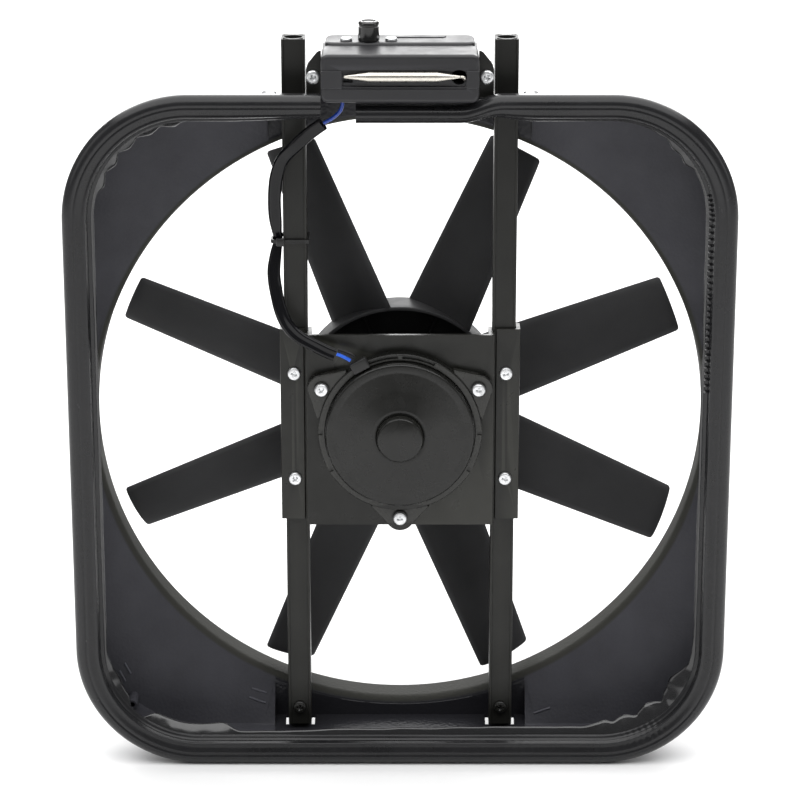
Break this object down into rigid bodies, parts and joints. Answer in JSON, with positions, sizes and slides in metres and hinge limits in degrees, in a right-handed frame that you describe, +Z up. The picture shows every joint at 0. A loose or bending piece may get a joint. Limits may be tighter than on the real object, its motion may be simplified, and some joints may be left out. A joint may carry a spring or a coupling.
{
  "type": "electric cooling fan",
  "caption": "Electric cooling fan in a square box shroud with a rubber rim seal, motor on a plate between two rails, and a thermostat controller on top.",
  "frame": {"origin": "centre of the footprint at the lowest point of the rim seal, under the fan axis", "axes": "+Z up, +Y along the air flow from the sealed face to the fan side, +X to the right seen from the sealed face"},
  "size_m": [0.4236, 0.113, 0.4896],
  "materials": {
    "moulded_plastic": "fine moulded grain",
    "rail_plastic": "extruded, faint gloss",
    "seal_rubber": "soft satin",
    "black_enamel": "semi-gloss black enamel",
    "fan_plastic": "moulded, low sheen",
    "controller_plastic": "fine moulded grain",
    "knob_plastic": "polished",
    "zinc_plate": "bright zinc plate",
    "steel": "ground steel",
    "sintered_bronze": "sintered, oiled",
    "copper": "enamelled copper wire",
    "ferrite": "sintered ferrite, dull grey",
    "carbon": "pressed carbon",
    "blue_pvc": "smooth wire insulation",
    "black_pvc": "smooth, glossy",
    "nickel_plate": "nickel plate"
  },
  "bodies": {
    "housing": {"shroud": "moulded_plastic", "rail_left": "rail_plastic", "rail_right": "rail_plastic", "rim_seal": "seal_rubber", "motor_plate": "black_enamel", "motor_can": "black_enamel", "motor_end_cover": "black_enamel", "bearing_cap": "black_enamel", "mounting_ring": "black_enamel", "motor_washer_1": "black_enamel", "motor_washer_2": "black_enamel", "motor_washer_3": "black_enamel", "rail_screw_left": "black_enamel", "rail_screw_right": "black_enamel", "controller_bracket": "black_enamel", "controller_base": "controller_plastic", "controller_lid": "controller_plastic", "terminal_block": "controller_plastic", "plate_screw_1": "zinc_plate", "plate_screw_2": "zinc_plate", "plate_screw_3": "zinc_plate", "plate_screw_4": "zinc_plate", "motor_screw_1": "zinc_plate", "motor_screw_2": "zinc_plate", "motor_screw_3": "zinc_plate", "lid_screw_1": "zinc_plate", "lid_screw_2": "zinc_plate", "bracket_screw_left": "zinc_plate", "bracket_screw_right": "zinc_plate", "front_bush": "sintered_bronze", "rear_bush": "sintered_bronze", "brush_holder": "sintered_bronze", "magnet_left": "ferrite", "magnet_right": "ferrite", "brush_left": "carbon", "brush_right": "carbon", "controller_lead_blue": "blue_pvc", "motor_lead_blue": "blue_pvc", "harness_sleeve": "black_pvc", "motor_lead_black": "black_pvc", "lead_grommet": "black_pvc", "cable_tie": "black_pvc", "relay": "black_pvc", "sensing_bulb": "nickel_plate", "capillary_tube": "nickel_plate", "thermostat_body": "nickel_plate"},
    "rotor": {"shaft": "steel", "armature_core": "steel", "winding_front": "copper", "winding_rear": "copper", "commutator": "copper", "fan": "fan_plastic", "hub_washer": "zinc_plate", "hub_nut": "zinc_plate"},
    "dial": {"thermostat_knob": "knob_plastic", "thermostat_spindle": "steel"}
  },
  "joints": [
    {"name": "fan_spin", "type": "hinge", "parent": "housing", "child": "rotor", "pos_m": [0, 0, 0.2242], "axis": [0, 1, 0], "continuous": true},
    {"name": "dial_turn", "type": "hinge", "parent": "housing", "child": "dial", "pos_m": [-0.0195, -0.0133, 0.4862], "axis": [0, 0, 1], "range_deg": [-135, 135]}
  ]
}
